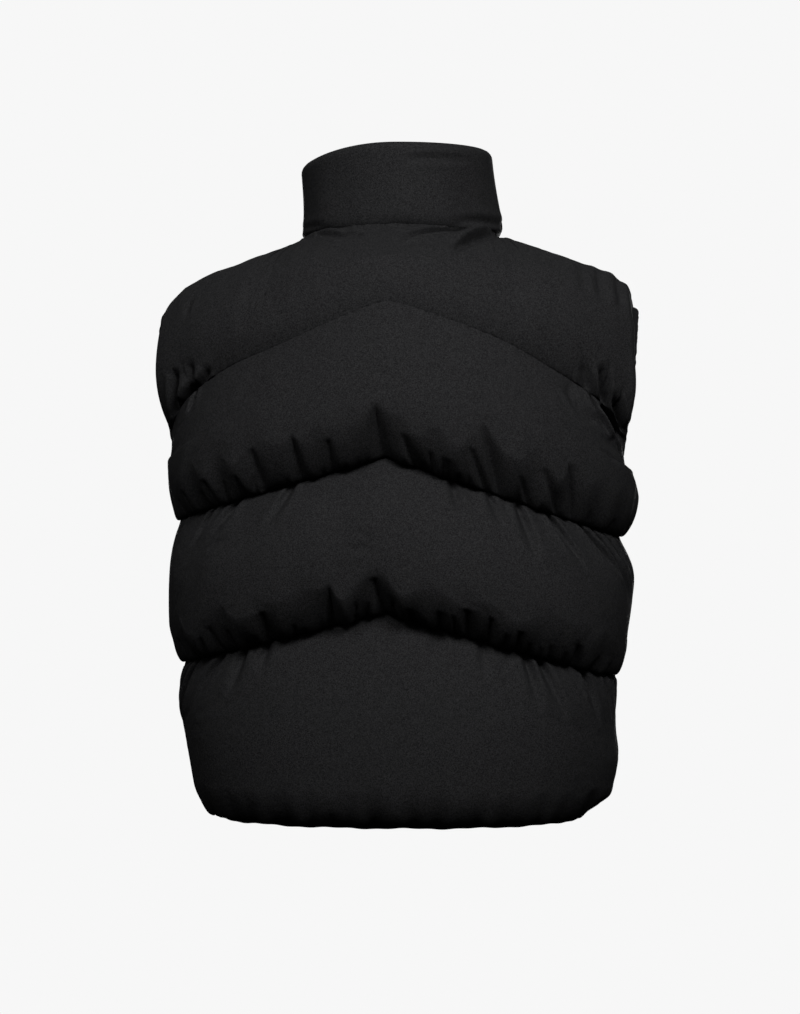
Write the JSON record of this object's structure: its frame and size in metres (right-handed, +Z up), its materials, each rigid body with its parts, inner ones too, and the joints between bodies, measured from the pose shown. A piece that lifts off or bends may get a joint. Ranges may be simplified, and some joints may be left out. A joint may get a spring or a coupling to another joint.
{
  "type": "puffer vest",
  "caption": "Cropped quilted puffer vest on its worn, hollow form: padded baffles, chevron quilting lines on the back, stand collar, bound armholes and a front zip with a pull tab.",
  "frame": {"origin": "middle of the neck seam, level with its two sides, where the vest hangs from the wearer's shoulders", "axes": "+Z up, -Y forwards out of the front zip, +X to the wearer's left"},
  "size_m": [0.4214, 0.3308, 0.583],
  "materials": {
    "shell_cloth": "matte black woven polyester, finely textured, with a soft sheen at glancing angles",
    "trim_cloth": "matte black binding and zip tape",
    "zip_metal": "satin black enamel"
  },
  "bodies": {
    "vest": {"back_baffle_1": "shell_cloth", "back_baffle_2": "shell_cloth", "back_baffle_3": "shell_cloth", "back_baffle_4": "shell_cloth", "front_left_baffle_1": "shell_cloth", "front_left_baffle_2": "shell_cloth", "front_left_baffle_3": "shell_cloth", "front_left_baffle_4": "shell_cloth", "front_right_baffle_1": "shell_cloth", "front_right_baffle_2": "shell_cloth", "front_right_baffle_3": "shell_cloth", "front_right_baffle_4": "shell_cloth", "collar": "shell_cloth", "armhole_binding_left": "trim_cloth", "armhole_binding_right": "trim_cloth", "hem_binding": "trim_cloth", "zip_tape_left": "trim_cloth", "zip_tape_right": "trim_cloth", "zip_teeth": "zip_metal", "zip_slider": "zip_metal"},
    "pull_tab": {"zip_pull_tab": "zip_metal"}
  },
  "joints": [
    {"name": "pull_tab_hinge", "type": "hinge", "parent": "vest", "child": "pull_tab", "pos_m": [0, -0.08946, 0.015], "axis": [-1, 0, 0], "range_deg": [0, 150]}
  ]
}
